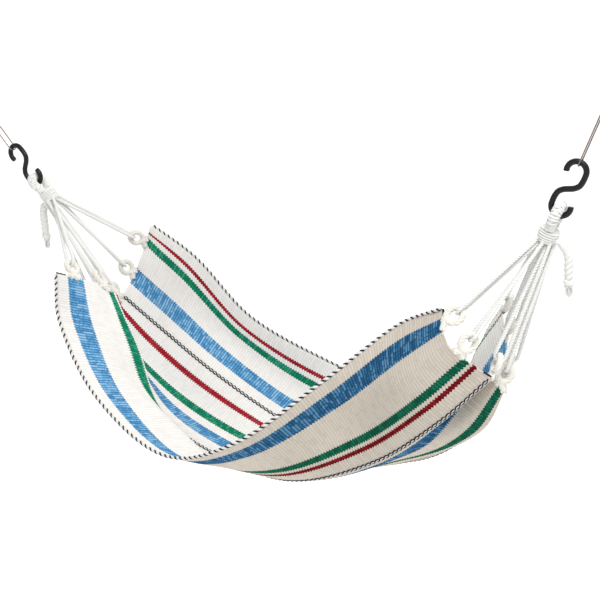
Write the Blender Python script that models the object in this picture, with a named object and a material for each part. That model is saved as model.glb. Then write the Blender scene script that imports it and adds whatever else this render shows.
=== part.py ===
"""A small hand-woven hammock, hung between two S-hooks on doubled wires from two ceiling eyes.

Metres, +Z up. The ceiling is the plane z = 0 and the origin is the middle of the left
eye's plate, on the ceiling. X runs along the hammock, -Y is its near side.
"""

import math

import bmesh
import bpy
from mathutils import Matrix, Vector

# Driving dimensions ------------------------------------------------------------------
GAP = 0.0004                    # clearance between pieces that touch
SPAN = 0.714                    # between the two places where the hooks hang on their wires
HOOK_DROP = 0.105               # from the ceiling down to those places
EYE_DROP = 0.018                # from the ceiling down to the bar that a wire hangs on
LEFT_WIRE_RUN = 0.070           # how far the left hook hangs sideways from its ceiling eye
RIGHT_WIRE_RUN = 0.037

HOOK_BAR = 0.003                # radius of the S-hooks' round bar
HOOK_BEND = 0.0098              # radius of each bend, to the middle of the bar
HOOK_HALF = 0.0286              # from the middle of the hook to the middle of the bar at a bend
HOOK_TURN = 200                 # degrees of each bend, up to its cut end
# From a bend to the middle of the hook, as (side, along) places of the middle of the bar
HOOK_WAIST = ((0.0098, -0.0125), (0.0084, -0.0066), (0.0044, -0.0024))
WIRE = 0.0007                   # radius of the hanging wire
WIRE_HALF_WIDTH = 0.0049        # from the pull line to each leg of the doubled wire
WIRE_SLACK = 0.0012             # between the wire and the ceiling eye that it rides on

ROPE = 0.0058                   # radius of the rope eye
EYE_HALF_WIDTH = 0.0104         # from the pull line to each leg of the rope eye
EYE_STRAIGHT = 0.004            # straight run of a leg under the hook and above the neck
NECK_TOP = 0.068                # along the pull line, from where the hook hangs
NECK_END = 0.0825
NECK_RADIUS = 0.0114
TAIL = 0.005                    # radius of the hanging rope tail
TAIL_FROM = 0.0775              # along the pull line, where the tail leaves the neck
TAIL_LENGTH = 0.060
TAIL_BEND = 0.020
TAIL_ROOT = 0.45                # share of the tail's radius where it leaves the neck
TAIL_ROOT_RUN = 0.008           # it would grow by one whole radius in this length
TAIL_GAP = 0.0008               # between the neck and the tail's root
KNOT_AT = 0.044                 # along the tail
KNOT_WAIST = 0.8                # share of the tail's radius left inside its knot
KNOT_YARN = 0.0015              # radius of the turn that makes the knot

CORD = 0.0018                   # radius of one strand of a suspension cord
CORDS = 7                       # doubled suspension cords, and end loops, at each end
LOOP_BAR = 0.0035               # radius of an end loop's gathered yarn
LOOP_LONG = 0.0088              # half length of an end loop, to the middle of its yarn
LOOP_WIDE = 0.0074
LOOP_LEAD = 0.0036              # how far the yarn follows the cloth before it turns to the neck
LOOP_FOOT = 0.0116              # from there to the middle of the end loop
NECK_RINGS = (0.0052, 0.0098)   # where the inner and outer strands leave the neck
NECK_FAN = math.radians(140)    # from the middle cord to the first and the last
NECK_CLEAR = 0.0014             # from the neck to the strands' ends

CLOTH = 0.0028                  # thickness of the sling
SELVEDGE = 0.0016               # radius of the twisted cord along each long edge
SELVEDGE_MARGIN = 0.01          # share of the length that each selvedge stops short of the hems
SLING_OFFSET = (-0.0007, 0, 0.005)  # from the middle of the span to SLING_MIDDLE
SELVEDGE_SIDE = 0.04            # share of the width, to find which way is out of the cloth
HEM_STEP = 0.03                 # share of the length and width, to find the hem's directions
CLOTH_COLUMNS = 28
CLOTH_ROWS = 40

PLATE = (0.018, 0.032, 0.003)   # ceiling plate: across, along and thickness
PLATE_SCREW_AT = 0.0105         # from the middle of the plate to each screw
EYE_BAR = 0.0012                # radius of the ceiling eye's bar
EYE_RING = 0.0060               # radius of the ceiling eye's ring
SCREW = (0.0015, 0.0032, 0.014)  # radius of the shank and of the head, and length
SCREW_HEAD = 0.0018             # height of the head

# The sling's shape. Each rib is a line across the cloth, from its far edge to its near
# edge, at a share of the cloth's length. Its seven points are half a striped repeat
# apart along the weft, in millimetres from SLING_MIDDLE.
RIBS = (
    (0.00, ((-229, 98, -117), (-249, 89, -169), (-260, 62, -205), (-257, 18, -212),
            (-220, 6, -194), (-214, -42, -157), (-227, -94, -131))),
    (0.10, ((-171, 107, -159), (-195, 95, -206), (-210, 69, -246), (-223, 23, -268),
            (-192, -15, -241), (-191, -56, -209), (-231, -93, -191))),
    (0.25, ((-102, 120, -237), (-122, 106, -274), (-125, 60, -295), (-145, 18, -323),
            (-143, -33, -313), (-146, -76, -281), (-165, -122, -265))),
    (0.42, ((3, 129, -289), (-21, 108, -331), (-26, 56, -345), (-38, 6, -359),
            (-44, -46, -355), (-55, -96, -337), (-64, -141, -314))),
    (0.58, ((103, 138, -323), (84, 92, -343), (74, 40, -370), (65, -15, -369),
            (55, -66, -357), (43, -106, -319), (33, -144, -285))),
    (0.75, ((198, 118, -331), (190, 70, -337), (180, 19, -346), (170, -25, -328),
            (160, -71, -315), (133, -75, -271), (114, -91, -225))),
    (0.90, ((217, 111, -236), (223, 59, -248), (255, 18, -288), (246, -31, -274),
            (237, -71, -257), (206, -87, -212), (187, -56, -166))),
    (1.00, ((245, 108, -185), (262, 59, -188), (280, 14, -229), (284, -31, -223),
            (286, -56, -209), (252, -82, -170), (242, -68, -139))),
)

# Folds too narrow for the ribs: share of the length and its reach, share of the width and
# its reach, and the push in millimetres.
FOLDS = (
    (0.16, 0.22, 0.695, 0.055, (-17, 8, -5)),
    (0.15, 0.19, 0.737, 0.065, (16, 3, 1)),
    (0.34, 0.16, 0.800, 0.080, (12, 6, 3)),
    (0.36, 0.16, 0.690, 0.075, (-14, 4, -4)),
    (1.00, 0.22, 0.585, 0.075, (-24, 18, 5)),
    (0.95, 0.24, 0.455, 0.090, (8, -6, -8)),
)

MIDDLE = Vector((LEFT_WIRE_RUN + SPAN / 2, 0, -HOOK_DROP))
SLING_MIDDLE = MIDDLE + Vector(SLING_OFFSET)
ACROSS = Vector((0, 1, 0))
DOWN = Vector((0, 0, -1))


# Materials ---------------------------------------------------------------------------
def material(name, colour, roughness, metallic=0.0):
    made = bpy.data.materials.new(name)
    made.use_nodes = True
    shader = made.node_tree.nodes["Principled BSDF"]
    shader.inputs["Base Color"].default_value = (*colour, 1)
    shader.inputs["Roughness"].default_value = roughness
    shader.inputs["Metallic"].default_value = metallic
    made.diffuse_color = (*colour, 1)
    return made


# Shapes ------------------------------------------------------------------------------
def add(obj, finish):
    obj.data.materials.append(finish)
    bpy.context.scene.collection.objects.link(obj)
    return obj


def mesh_object(name, vertices, faces, finish, smooth=True):
    mesh = bpy.data.meshes.new(name)
    mesh.from_pydata([tuple(v) for v in vertices], [], faces)
    mesh.update()
    if smooth:
        mesh.shade_smooth()
        mesh.set_sharp_from_angle(angle=math.radians(40))
    return add(bpy.data.objects.new(name, mesh), finish)


def tube(name, points, radius, finish, cyclic=False, radii=None, sides=2):
    """A round bar along the points, closed by flat caps or on itself."""
    curve = bpy.data.curves.new(name, "CURVE")
    curve.dimensions = "3D"
    curve.bevel_depth = radius
    curve.bevel_resolution = sides
    curve.use_fill_caps = not cyclic
    spline = curve.splines.new("POLY")
    spline.points.add(len(points) - 1)
    for i, point in enumerate(points):
        spline.points[i].co = (*point, 1)
        spline.points[i].radius = radii[i] if radii else 1.0
    spline.use_cyclic_u = cyclic
    spline.use_smooth = True
    return add(bpy.data.objects.new(name, curve), finish)


def turned(name, profile, foot, axis, finish, segments=20):
    """A turned piece: the profile's (radius, height) points round the axis, from foot up."""
    axis = axis.normalized()
    side = axis.orthogonal().normalized()
    other = axis.cross(side)
    vertices = []
    for radius, height in profile:
        for i in range(segments):
            angle = math.tau * i / segments
            arm = side * math.cos(angle) + other * math.sin(angle)
            vertices.append(foot + axis * height + arm * radius)
    faces = []
    for row in range(len(profile) - 1):
        for i in range(segments):
            j = (i + 1) % segments
            a, b = row * segments, (row + 1) * segments
            faces.append((a + i, a + j, b + j, b + i))
    faces.append(tuple(reversed(range(segments))))
    faces.append(tuple(range((len(profile) - 1) * segments, len(profile) * segments)))
    return mesh_object(name, vertices, faces, finish)


def blend_at(knots, values, t):
    """A smooth line through the values at the knots: cubic, with slopes from the neighbours."""
    last = len(knots) - 1
    span = max(i for i in range(last) if t >= knots[i] or i == 0)

    def slope(i):
        low, high = max(i - 1, 0), min(i + 1, last)
        return (values[high] - values[low]) / (knots[high] - knots[low])

    width = knots[span + 1] - knots[span]
    s = (t - knots[span]) / width
    return (
        values[span] * (2 * s**3 - 3 * s**2 + 1)
        + slope(span) * width * (s**3 - 2 * s**2 + s)
        + values[span + 1] * (3 * s**2 - 2 * s**3)
        + slope(span + 1) * width * (s**3 - s**2)
    )


def smooth_route(points, count):
    """The points of a smooth curve through a few route points, evenly spread."""
    knots = [0.0]
    for a, b in zip(points, points[1:]):
        knots.append(knots[-1] + (b - a).length)
    return [blend_at(knots, points, knots[-1] * i / (count - 1)) for i in range(count)]


# The sling ---------------------------------------------------------------------------
RIB_PLACES = [place for place, _ in RIBS]
RIB_POINTS = [[SLING_MIDDLE + Vector(p) / 1000 for p in points] for _, points in RIBS]
WEFT_PLACES = [i / 6 for i in range(7)]


def cloth_point(along, across):
    """The middle of the cloth at a share of its length and of its width, far edge first."""
    rib = [blend_at(WEFT_PLACES, points, across) for points in RIB_POINTS]
    point = blend_at(RIB_PLACES, rib, along)
    for at, reach, at_across, reach_across, push in FOLDS:
        near = max(1 - ((along - at) / reach) ** 2, 0) ** 2
        beside = max(1 - ((across - at_across) / reach_across) ** 2, 0) ** 2
        point = point + Vector(push) / 1000 * (near * beside)
    return point


def cloth_normal(along, across):
    step = 0.01
    warp = cloth_point(min(along + step, 1), across) - cloth_point(max(along - step, 0), across)
    weft = cloth_point(along, min(across + step, 1)) - cloth_point(along, max(across - step, 0))
    return warp.cross(weft).normalized()


def make_sling(finish):
    vertices, faces = [], []
    for side in (1, -1):
        for i in range(CLOTH_COLUMNS + 1):
            for j in range(CLOTH_ROWS + 1):
                along, across = i / CLOTH_COLUMNS, j / CLOTH_ROWS
                lift = cloth_normal(along, across) * (side * CLOTH / 2)
                vertices.append(cloth_point(along, across) + lift)
    row = CLOTH_ROWS + 1
    sheet = row * (CLOTH_COLUMNS + 1)
    for i in range(CLOTH_COLUMNS):
        for j in range(CLOTH_ROWS):
            a = i * row + j
            faces.append((a, a + row, a + row + 1, a + 1))
            b = a + sheet
            faces.append((b, b + 1, b + row + 1, b + row))
    for i in range(CLOTH_COLUMNS):
        a = i * row
        faces.append((a + row, a, a + sheet, a + row + sheet))
        b = a + CLOTH_ROWS
        faces.append((b, b + row, b + row + sheet, b + sheet))
    for j in range(CLOTH_ROWS):
        faces.append((j, j + 1, j + 1 + sheet, j + sheet))
        b = CLOTH_COLUMNS * row + j
        faces.append((b + 1, b, b + sheet, b + 1 + sheet))
    return mesh_object("sling", vertices, faces, finish)


def make_selvedge(name, across, inner, finish):
    """The twisted cord along a long edge of the cloth, just clear of it."""
    points = []
    count = 30
    for i in range(count):
        along = SELVEDGE_MARGIN + (1 - 2 * SELVEDGE_MARGIN) * i / (count - 1)
        edge = cloth_point(along, across)
        outward = (edge - cloth_point(along, inner)).normalized()
        points.append(edge + outward * (SELVEDGE + 2 * GAP))
    return tube(name, points, SELVEDGE, finish)


# One end of the hammock --------------------------------------------------------------
class End:
    """The pull line of one end: from the ceiling eye down through the hook to the neck."""

    def __init__(self, name, side, run, neck_along, neck_down, hem):
        self.name = name
        self.hem = hem
        self.eye = Vector((MIDDLE.x + side * (SPAN / 2 + run), 0, -EYE_DROP))
        self.top = Vector((MIDDLE.x + side * SPAN / 2, 0, -HOOK_DROP))
        self.pull = Vector((-side * neck_along, 0, -neck_down)).normalized()
        self.right = self.pull.cross(ACROSS).normalized()
        self.under = self.right * side
        self.neck = self.top + self.pull * NECK_END

    def at(self, along, right=0.0, across=0.0):
        return self.top + self.pull * along + self.right * right + ACROSS * across


ENDS = (
    End("left", -1, LEFT_WIRE_RUN, 0.059, 0.0687, 0.0),
    End("right", 1, RIGHT_WIRE_RUN, 0.0343, 0.0796, 1.0),
)


def make_ceiling_plate(end, finish):
    """A stadium plate with a ring welded under it and two screw holes."""
    across, along, thick = PLATE
    outline = bmesh.new()
    corners = []
    steps = 10
    straight = (along - across) / 2
    for turn in (0, 1):
        for i in range(steps + 1):
            angle = math.pi * (turn + i / steps)
            y = straight if turn == 0 else -straight
            corners.append((across / 2 * math.cos(angle), y + across / 2 * math.sin(angle)))
    low = [outline.verts.new((end.eye.x + x, y, -thick)) for x, y in corners]
    face = outline.faces.new(low)
    raised = bmesh.ops.extrude_face_region(outline, geom=[face])
    lifted = [v for v in raised["geom"] if isinstance(v, bmesh.types.BMVert)]
    bmesh.ops.translate(outline, verts=lifted, vec=(0, 0, thick))
    bmesh.ops.recalc_face_normals(outline, faces=outline.faces)
    mesh = bpy.data.meshes.new(f"{end.name}_ceiling_plate")
    outline.to_mesh(mesh)
    outline.free()
    plate = add(bpy.data.objects.new(mesh.name, mesh), finish)
    ring = make_ceiling_ring(end, finish)
    join(plate, ring, "UNION")
    for turn in (-1, 1):
        hole = turned(
            f"{end.name}_hole_cutter",
            ((SCREW[0] + GAP, 0), (SCREW[0] + GAP, 3 * thick)),
            Vector((end.eye.x, turn * PLATE_SCREW_AT, -2 * thick)),
            -DOWN,
            finish,
        )
        join(plate, hole, "DIFFERENCE")
    return plate


def make_ceiling_ring(end, finish):
    """The ring under a plate, long enough to reach into the plate, as a turned bar."""
    middle = end.eye + Vector((0, 0, EYE_RING))
    stretch = (EYE_DROP - EYE_RING) / EYE_RING
    vertices, faces = [], []
    around, sides = 20, 6
    for i in range(around):
        angle = math.tau * i / around
        rise = stretch if math.sin(angle) > 0 else 1.0
        spoke = Vector((math.cos(angle), 0, math.sin(angle) * rise)) * EYE_RING
        out = Vector((math.cos(angle), 0, math.sin(angle)))
        for j in range(sides):
            turn = math.tau * j / sides
            arm = out * math.cos(turn) + ACROSS * math.sin(turn)
            vertices.append(middle + spoke + arm * EYE_BAR)
    for i in range(around):
        a, b = i * sides, (i + 1) % around * sides
        for j in range(sides):
            k = (j + 1) % sides
            faces.append((a + j, a + k, b + k, b + j))
    ring = mesh_object(f"{end.name}_ring_tool", vertices, faces, finish)
    beyond = EYE_DROP + EYE_BAR + GAP * 2
    cut = turned(
        f"{end.name}_ring_cutter",
        ((beyond, 0), (beyond, beyond)),
        Vector((end.eye.x, 0, -PLATE[2] / 2)),
        -DOWN,
        finish,
    )
    join(ring, cut, "DIFFERENCE")
    return ring


def join(target, tool, operation):
    """Unites or cuts with a helper, which the finished part doesn't show."""
    step = target.modifiers.new(operation.lower(), "BOOLEAN")
    step.operation = operation
    step.object = tool
    tool.hide_render = True
    tool.display_type = "WIRE"


def make_screw(end, label, turn, finish):
    shank, head, length = SCREW
    thick = PLATE[2]
    profile = (
        (head * 0.55, 0),
        (head * 0.85, 0.0005),
        (head, 0.0013),
        (head, SCREW_HEAD),
        (shank, SCREW_HEAD),
        (shank, length - 0.004),
        (shank * 0.25, length),
    )
    foot = Vector((end.eye.x, turn * PLATE_SCREW_AT, -thick - SCREW_HEAD - GAP))
    return turned(f"{end.name}_screw_{label}", profile, foot, -DOWN, finish, 16)


def make_wire(end, finish):
    """The doubled wire: up one side from the hook, over the ceiling eye, and down again."""
    up = (end.eye - end.top).normalized()
    over = EYE_BAR + WIRE + WIRE_SLACK
    under = HOOK_BAR + WIRE
    steps = 12
    points = []
    for middle, rise in ((end.eye, over), (end.top + up * under, -under)):
        for i in range(steps + 1):
            angle = math.pi * i / steps
            side = math.cos(angle) * math.copysign(WIRE_HALF_WIDTH, rise)
            points.append(middle + up * rise * math.sin(angle) + ACROSS * side)
    return tube(f"{end.name}_wire", points, WIRE, finish, cyclic=True)


def hook_line():
    """The S-hook's middle line, as (side, along) pairs from its middle: two bends, mirrored."""
    centre = Vector((0, -(HOOK_HALF - HOOK_BEND)))
    half = []
    steps = 14
    for i in range(steps + 1):
        angle = math.radians(HOOK_TURN * (1 - i / steps))
        half.append(centre + Vector((math.cos(angle), -math.sin(angle))) * HOOK_BEND)
    half += [Vector(point) for point in HOOK_WAIST]
    line = half + [Vector((0, 0))] + [-p for p in reversed(half)]
    return smooth_route(line, 38)


def make_hook(end, finish):
    """The hook hangs by the inside of its upper bend on the wire."""
    middle = HOOK_HALF - HOOK_BAR - WIRE - GAP
    points = [end.at(middle + p.y, p.x) for p in hook_line()]
    return tube(f"{end.name}_s_hook", points, HOOK_BAR, finish, sides=3)


def make_rope_eye(end, finish):
    """Over the inside of the hook's lower bend and down both sides into the neck."""
    bar = 2 * HOOK_HALF - HOOK_BAR - WIRE - GAP
    crown = HOOK_BAR + ROPE + GAP
    steps = 12
    arch = []
    for i in range(steps + 1):
        angle = math.pi * i / steps
        arch.append(end.at(bar - crown * math.sin(angle), 0, EYE_HALF_WIDTH * math.cos(angle)))
    foot = NECK_TOP - GAP
    near = [
        end.at(bar + EYE_STRAIGHT, 0, -EYE_HALF_WIDTH),
        end.at(foot - EYE_STRAIGHT, 0, -ROPE - 2 * GAP),
        end.at(foot, 0, -ROPE - GAP),
    ]
    far = [Vector((p.x, -p.y, p.z)) for p in reversed(near)]
    points = smooth_route(far + arch + near, 26)
    return tube(f"{end.name}_rope_eye", points, ROPE, finish, sides=3)


def make_neck(end, finish):
    """The whipped barrel that gathers both legs of the rope eye and all the strands."""
    length = NECK_END - NECK_TOP
    profile = (
        (NECK_RADIUS - 0.0008, 0),
        (NECK_RADIUS, 0.0008),
        (NECK_RADIUS, length - 0.005),
        (NECK_RADIUS - 0.0008, length - 0.001),
        (NECK_RADIUS - 0.0014, length),
    )
    return turned(f"{end.name}_neck_binding", profile, end.at(NECK_TOP), end.pull, finish)


def tail_line(end):
    """The rope tail: out of the neck's underside, then straight down."""
    start = end.at(TAIL_FROM) + end.under * (NECK_RADIUS + TAIL_GAP)
    lean = math.acos(end.under.dot(DOWN))
    sideways = Vector((end.under.x, 0, 0)).normalized()
    points = [start]
    bend_steps = 8
    for i in range(1, bend_steps + 1):
        turn = lean * (1 - i / bend_steps)
        step = (sideways * math.sin(turn) + DOWN * math.cos(turn)) * TAIL_BEND * lean / bend_steps
        points.append(points[-1] + step)
    rest = TAIL_LENGTH - TAIL_BEND * lean
    points += [points[-1] + DOWN * rest * i / 3 for i in (1, 2, 3)]
    return smooth_route(points, 22)


def make_tail(end, finish):
    """It narrows where it leaves the neck and inside its knot, and its tip is frayed."""
    points = tail_line(end)
    radii = []
    for i in range(len(points)):
        place = TAIL_LENGTH * i / (len(points) - 1)
        root = min(1.0, TAIL_ROOT + place / TAIL_ROOT_RUN)
        waist = KNOT_WAIST if abs(place - KNOT_AT) < 3 * KNOT_YARN else 1.0
        radii.append(min(root, waist))
    return tube(f"{end.name}_tail", points, TAIL, finish, radii=radii)


def make_tail_knot(end, finish):
    points = tail_line(end)
    middle = points[round(KNOT_AT / TAIL_LENGTH * (len(points) - 1))]
    radius = TAIL * KNOT_WAIST + GAP + KNOT_YARN
    ring = []
    steps = 16
    for i in range(steps):
        angle = math.tau * i / steps
        ring.append(middle + Vector((math.cos(angle), math.sin(angle), 0)) * radius)
    return tube(f"{end.name}_tail_knot", ring, KNOT_YARN, finish, cyclic=True)


# End loops and suspension cords ------------------------------------------------------
class Loop:
    """Where one end loop sits: its middle, the way to the neck, and across its opening."""

    def __init__(self, end, index):
        across = (index + 0.5) / CORDS
        hem = cloth_point(end.hem, across)
        before = cloth_point(end.hem, across - HEM_STEP)
        after = cloth_point(end.hem, across + HEM_STEP)
        inside = cloth_point(abs(end.hem - HEM_STEP), across)
        foot = hem + (hem - inside).normalized() * LOOP_LEAD
        self.reach = (end.neck - foot).normalized()
        flat = after - before
        self.wide = (flat - self.reach * flat.dot(self.reach)).normalized()
        self.through = self.reach.cross(self.wide)
        self.middle = foot + self.reach * LOOP_FOOT

    def ring(self, steps=13):
        points = []
        for i in range(steps):
            angle = math.tau * i / steps
            points.append(
                self.middle
                + self.reach * LOOP_LONG * math.cos(angle)
                + self.wide * LOOP_WIDE * math.sin(angle)
            )
        return points


def make_end_loop(end, index, finish):
    loop = Loop(end, index)
    return tube(f"{end.name}_end_loop_{index + 1}", loop.ring(), LOOP_BAR, finish, cyclic=True)


def make_cord(end, index, finish):
    """A doubled cord: from the neck, round the top of its end loop, and back to the neck."""
    loop = Loop(end, index)
    fan = NECK_FAN * (1 - 2 * index / (CORDS - 1))
    arm = ACROSS * math.sin(fan) + end.under * math.cos(fan)
    foot = end.neck + end.pull * NECK_CLEAR
    outward = loop.through if loop.through.dot(arm) > 0 else -loop.through
    bend = LOOP_BAR + CORD + GAP
    crown = loop.middle + loop.reach * LOOP_LONG
    turn = []
    steps = 6
    for i in range(steps + 1):
        angle = math.pi * i / steps
        turn.append(
            crown + outward * bend * math.cos(angle) - loop.reach * bend * math.sin(angle)
        )
    inner, outer = NECK_RINGS
    route = [foot + arm * outer, *turn, foot + arm * inner]
    return tube(f"{end.name}_cord_{index + 1}", route, CORD, finish)


# The whole object --------------------------------------------------------------------
def make_pivot(name, place, pieces):
    """An empty on a joint's axis, which carries the pieces that turn about it."""
    pivot = bpy.data.objects.new(name, None)
    pivot.location = place
    bpy.context.scene.collection.objects.link(pivot)
    for piece in pieces:
        piece.parent = pivot
        piece.matrix_parent_inverse = Matrix.Translation(-place)
    return pivot


def main():
    for obj in list(bpy.data.objects):
        bpy.data.objects.remove(obj)
    cotton = material("woven_cotton", (0.80, 0.77, 0.70), 0.9)
    cord = material("white_cord", (0.84, 0.84, 0.81), 0.85)
    yarn = material("natural_yarn", (0.80, 0.78, 0.72), 0.9)
    trim = material("black_white_cord", (0.25, 0.25, 0.28), 0.85)
    black = material("black_metal", (0.02, 0.02, 0.02), 0.35, 0.4)
    steel = material("wire_steel", (0.42, 0.36, 0.31), 0.35, 1.0)
    zinc = material("zinc_steel", (0.60, 0.60, 0.62), 0.35, 1.0)

    swinging = [
        make_sling(cotton),
        make_selvedge("selvedge_far", 0.0, SELVEDGE_SIDE, trim),
        make_selvedge("selvedge_near", 1.0, 1 - SELVEDGE_SIDE, trim),
    ]
    for end in ENDS:
        make_ceiling_plate(end, zinc)
        make_screw(end, "near", -1, zinc)
        make_screw(end, "far", 1, zinc)
        hook = make_hook(end, black)
        swinging.append(make_pivot(f"{end.name}_hook_pivot", end.top, [hook]))
        swinging.append(make_wire(end, steel))
        swinging.append(make_rope_eye(end, cord))
        swinging.append(make_neck(end, cord))
        swinging.append(make_tail(end, cord))
        swinging.append(make_tail_knot(end, cord))
        for index in range(CORDS):
            swinging.append(make_end_loop(end, index, yarn))
            swinging.append(make_cord(end, index, cord))
    make_pivot("swing_pivot", ENDS[0].eye, swinging)


main()
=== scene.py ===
"""The looks of a small hand-woven hammock that hangs between two S-hooks.

The sling is a rib weave with coloured stripes and twisted black and white edge cords. At
each end its warp yarns are gathered into seven loops, and a fan of doubled cords joins
them to a whipped neck and a rope eye. Metres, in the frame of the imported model.
"""

import math

import bpy
import numpy as np
from mathutils import Euler, Matrix, Vector


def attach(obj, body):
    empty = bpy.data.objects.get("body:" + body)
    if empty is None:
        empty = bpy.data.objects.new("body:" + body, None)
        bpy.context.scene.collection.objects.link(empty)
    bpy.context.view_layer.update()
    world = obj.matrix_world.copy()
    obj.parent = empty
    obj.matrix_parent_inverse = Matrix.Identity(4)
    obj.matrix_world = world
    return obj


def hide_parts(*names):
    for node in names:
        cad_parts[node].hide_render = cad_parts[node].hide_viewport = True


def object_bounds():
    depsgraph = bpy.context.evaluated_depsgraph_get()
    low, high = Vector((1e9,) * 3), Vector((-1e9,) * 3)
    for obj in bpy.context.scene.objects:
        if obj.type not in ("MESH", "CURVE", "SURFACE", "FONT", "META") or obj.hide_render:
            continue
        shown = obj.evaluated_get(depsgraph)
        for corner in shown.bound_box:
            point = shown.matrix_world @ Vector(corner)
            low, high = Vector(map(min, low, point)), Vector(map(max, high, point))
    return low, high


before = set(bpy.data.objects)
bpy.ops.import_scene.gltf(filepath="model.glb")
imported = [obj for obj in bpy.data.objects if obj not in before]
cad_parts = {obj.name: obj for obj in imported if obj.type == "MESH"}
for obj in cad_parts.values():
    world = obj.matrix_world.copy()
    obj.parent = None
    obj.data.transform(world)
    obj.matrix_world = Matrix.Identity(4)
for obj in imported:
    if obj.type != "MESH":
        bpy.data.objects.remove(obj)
cad_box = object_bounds()

# Camera and studio ---------------------------------------------------------------------
CAMERA_TARGET = Vector((0.4773, 0.011, -0.265))
CAMERA_DISTANCE = 1.269
CAMERA_AZIMUTH = 29.0           # degrees, turned from the near side towards the right end
CAMERA_ELEVATION = 16.2
CAMERA_ROLL = -3.4
CAMERA_LENS = 67.2              # mm on a 36 mm sensor
CAMERA_SHIFT = (-0.0192, -0.0057)
FLOOR_DROP = 0.55               # from the bottom of the sling to the floor
FLOOR_GLOW = 0.42
SKY_STRENGTH = 0.62             # even white light from all round
LAMP_PLACE = (1.1, -0.5, 0.9)
LAMP_AIM = (0.4, 0, -0.3)
LAMP_SIZE = 0.7
LAMP_POWER = 14

# The hanging line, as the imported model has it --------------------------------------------
SPAN = 0.714                    # between the two places where the hooks hang on their wires
HOOK_DROP = 0.105               # from the ceiling down to those places
EYE_DROP = 0.018                # from the ceiling down to the bar that a wire hangs on
LEFT_WIRE_RUN = 0.070           # how far the left hook hangs sideways from its ceiling eye
RIGHT_WIRE_RUN = 0.037
GAP = 0.0004                    # clearance between pieces that touch

HOOK_BAR = 0.003                # radius of the S-hooks' round bar
HOOK_BEND = 0.0098              # radius of each bend, to the middle of the bar
HOOK_HALF = 0.0286              # from the middle of the hook to the middle of the bar at a bend
HOOK_TURN = 200                 # degrees of each bend, up to its cut end
# From a bend to the middle of the hook, as (side, along) places of the middle of the bar
HOOK_WAIST = ((0.0098, -0.0125), (0.0084, -0.0066), (0.0044, -0.0024))
HOOK_ROUND_OFF = 0.0004         # at the edge of each cut end
WIRE = 0.0007                   # radius of the hanging wire
WIRE_HALF_WIDTH = 0.0049        # from the pull line to each leg of the doubled wire
WIRE_SLACK = 0.0012             # between the wire and the ceiling eye that it rides on
EYE_BAR = 0.0012                # radius of the ceiling eye's bar

ROPE = 0.0058                   # radius of the rope eye's solid
ROPE_LAY = 0.021                # along a rope, one turn of its strands
ROPE_FILL = 0.98                # share of the solid's radius that the laid rope fills
WHIPPED_FILL = 0.86             # and where it is whipped with the thin cord
WHIPPED_FOOT = 0.007            # length of the whipping at the foot of the rope eye's far leg
WHIPPED_FROM = 0.55             # share of the rope's length where the near leg's whipping starts
EYE_HALF_WIDTH = 0.0104         # from the pull line to each leg of the rope eye
EYE_STRAIGHT = 0.004            # straight run of a leg under the hook and above the neck
NECK_TOP = 0.068                # along the pull line, from where the hook hangs
NECK_END = 0.0825
NECK_RADIUS = 0.0114
WINDING = 0.00125               # radius of the thin cord wound round the rope eyes and necks
WINDING_STEP = 2.05 * WINDING   # from one of its turns to the next
TAIL = 0.005                    # radius of the hanging rope tail
TAIL_LAY = 0.017
TAIL_FROM = 0.0775              # along the pull line, where the tail leaves the neck
TAIL_GAP = 0.0008               # between the neck and the start of the tail's own length
TAIL_LENGTH = 0.060
TAIL_BEND = 0.020
KNOT_AT = 0.044                 # along the tail
KNOT_RING = 0.0040              # radius of the knot's two turns, to the middle of their yarn
KNOT_YARN = 0.0017
FRAY_HAIRS = 26

CORD = 0.0018                   # radius of the solid strand of a doubled suspension cord
CORD_LAY = 0.0096
# A laid cord's thickness over its solid's, at shares of its length: slimmer in the neck and
# where it rides on its end loop
CORD_SWELL = (
    (0.0, 1.08),
    (0.2, 1.34),
    (0.42, 1.34),
    (0.5, 1.14),
    (0.58, 1.34),
    (0.8, 1.34),
    (1.0, 1.08),
)
CORD_ROOT = 0.004               # how far a laid cord runs on to the neck from its solid's end
CORDS = 7                       # doubled suspension cords, and end loops, at each end
LOOP_BAR = 0.0035               # radius of an end loop's gathered yarn
LOOP_LAY = 0.024
LOOP_LONG = 0.0088              # half length of an end loop, to the middle of its yarn
LOOP_WIDE = 0.0074              # and half width
LOOP_TURN = 410                 # degrees that its yarn turns
LOOP_LEAD = 0.0036              # how far the yarn follows the cloth before it turns to the neck
LOOP_FOOT = 0.0116              # from there to the middle of the end loop
LOOP_YARNS = 9                  # loose yarns that run from the hem into each end loop
# Half the width that they take up at the hem, on their way and at the loop
LOOP_SPREADS = (0.010, 0.0075, 0.0026)
NECK_RINGS = (0.0052, 0.0098)   # from the neck's middle to the inner and the outer strands
NECK_FAN = math.radians(140)    # from the middle cord to the first and the last
NECK_CLEAR = 0.0014             # from the neck to the ends of the solid strands

# Cloth ---------------------------------------------------------------------------------
WIDTH = 0.33                    # the flat cloth, across
LENGTH = 0.65                   # and along
THICK = 0.0016
PICK = 0.0035                   # from one weft rib to the next
RIB_LIFT = 0.00042              # how far a rib stands out of the cloth
COLUMNS_PER_PICK = 4
ROWS = 104
WARP = 0.0016                   # width of one warp yarn
STREAK = 6.0                    # warp yarns in one streak of a rib
STREAK_SHARE = 0.65             # share of the streaks in a rib's uneven dye, the rest being flecks
DARK_BELOW = 0.36               # the random values under and over which yarns are dark and pale
PALE_ABOVE = 0.62
DARK_SHARE = 0.42               # and how far they are so
PALE_SHARE = 0.50
TOOTH = 0.0007                  # how far a stripe's sides step in and out from rib to rib
REPEAT = 0.11                   # the stripes repeat three times across the cloth
PUCKER = 0.0016                 # how far the cloth stands up between end loops, at a hem
PUCKER_REACH = 0.022
GATHER_SHIFT = 0.016            # how far the stripes are drawn towards the far edge, at the left hem
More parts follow.
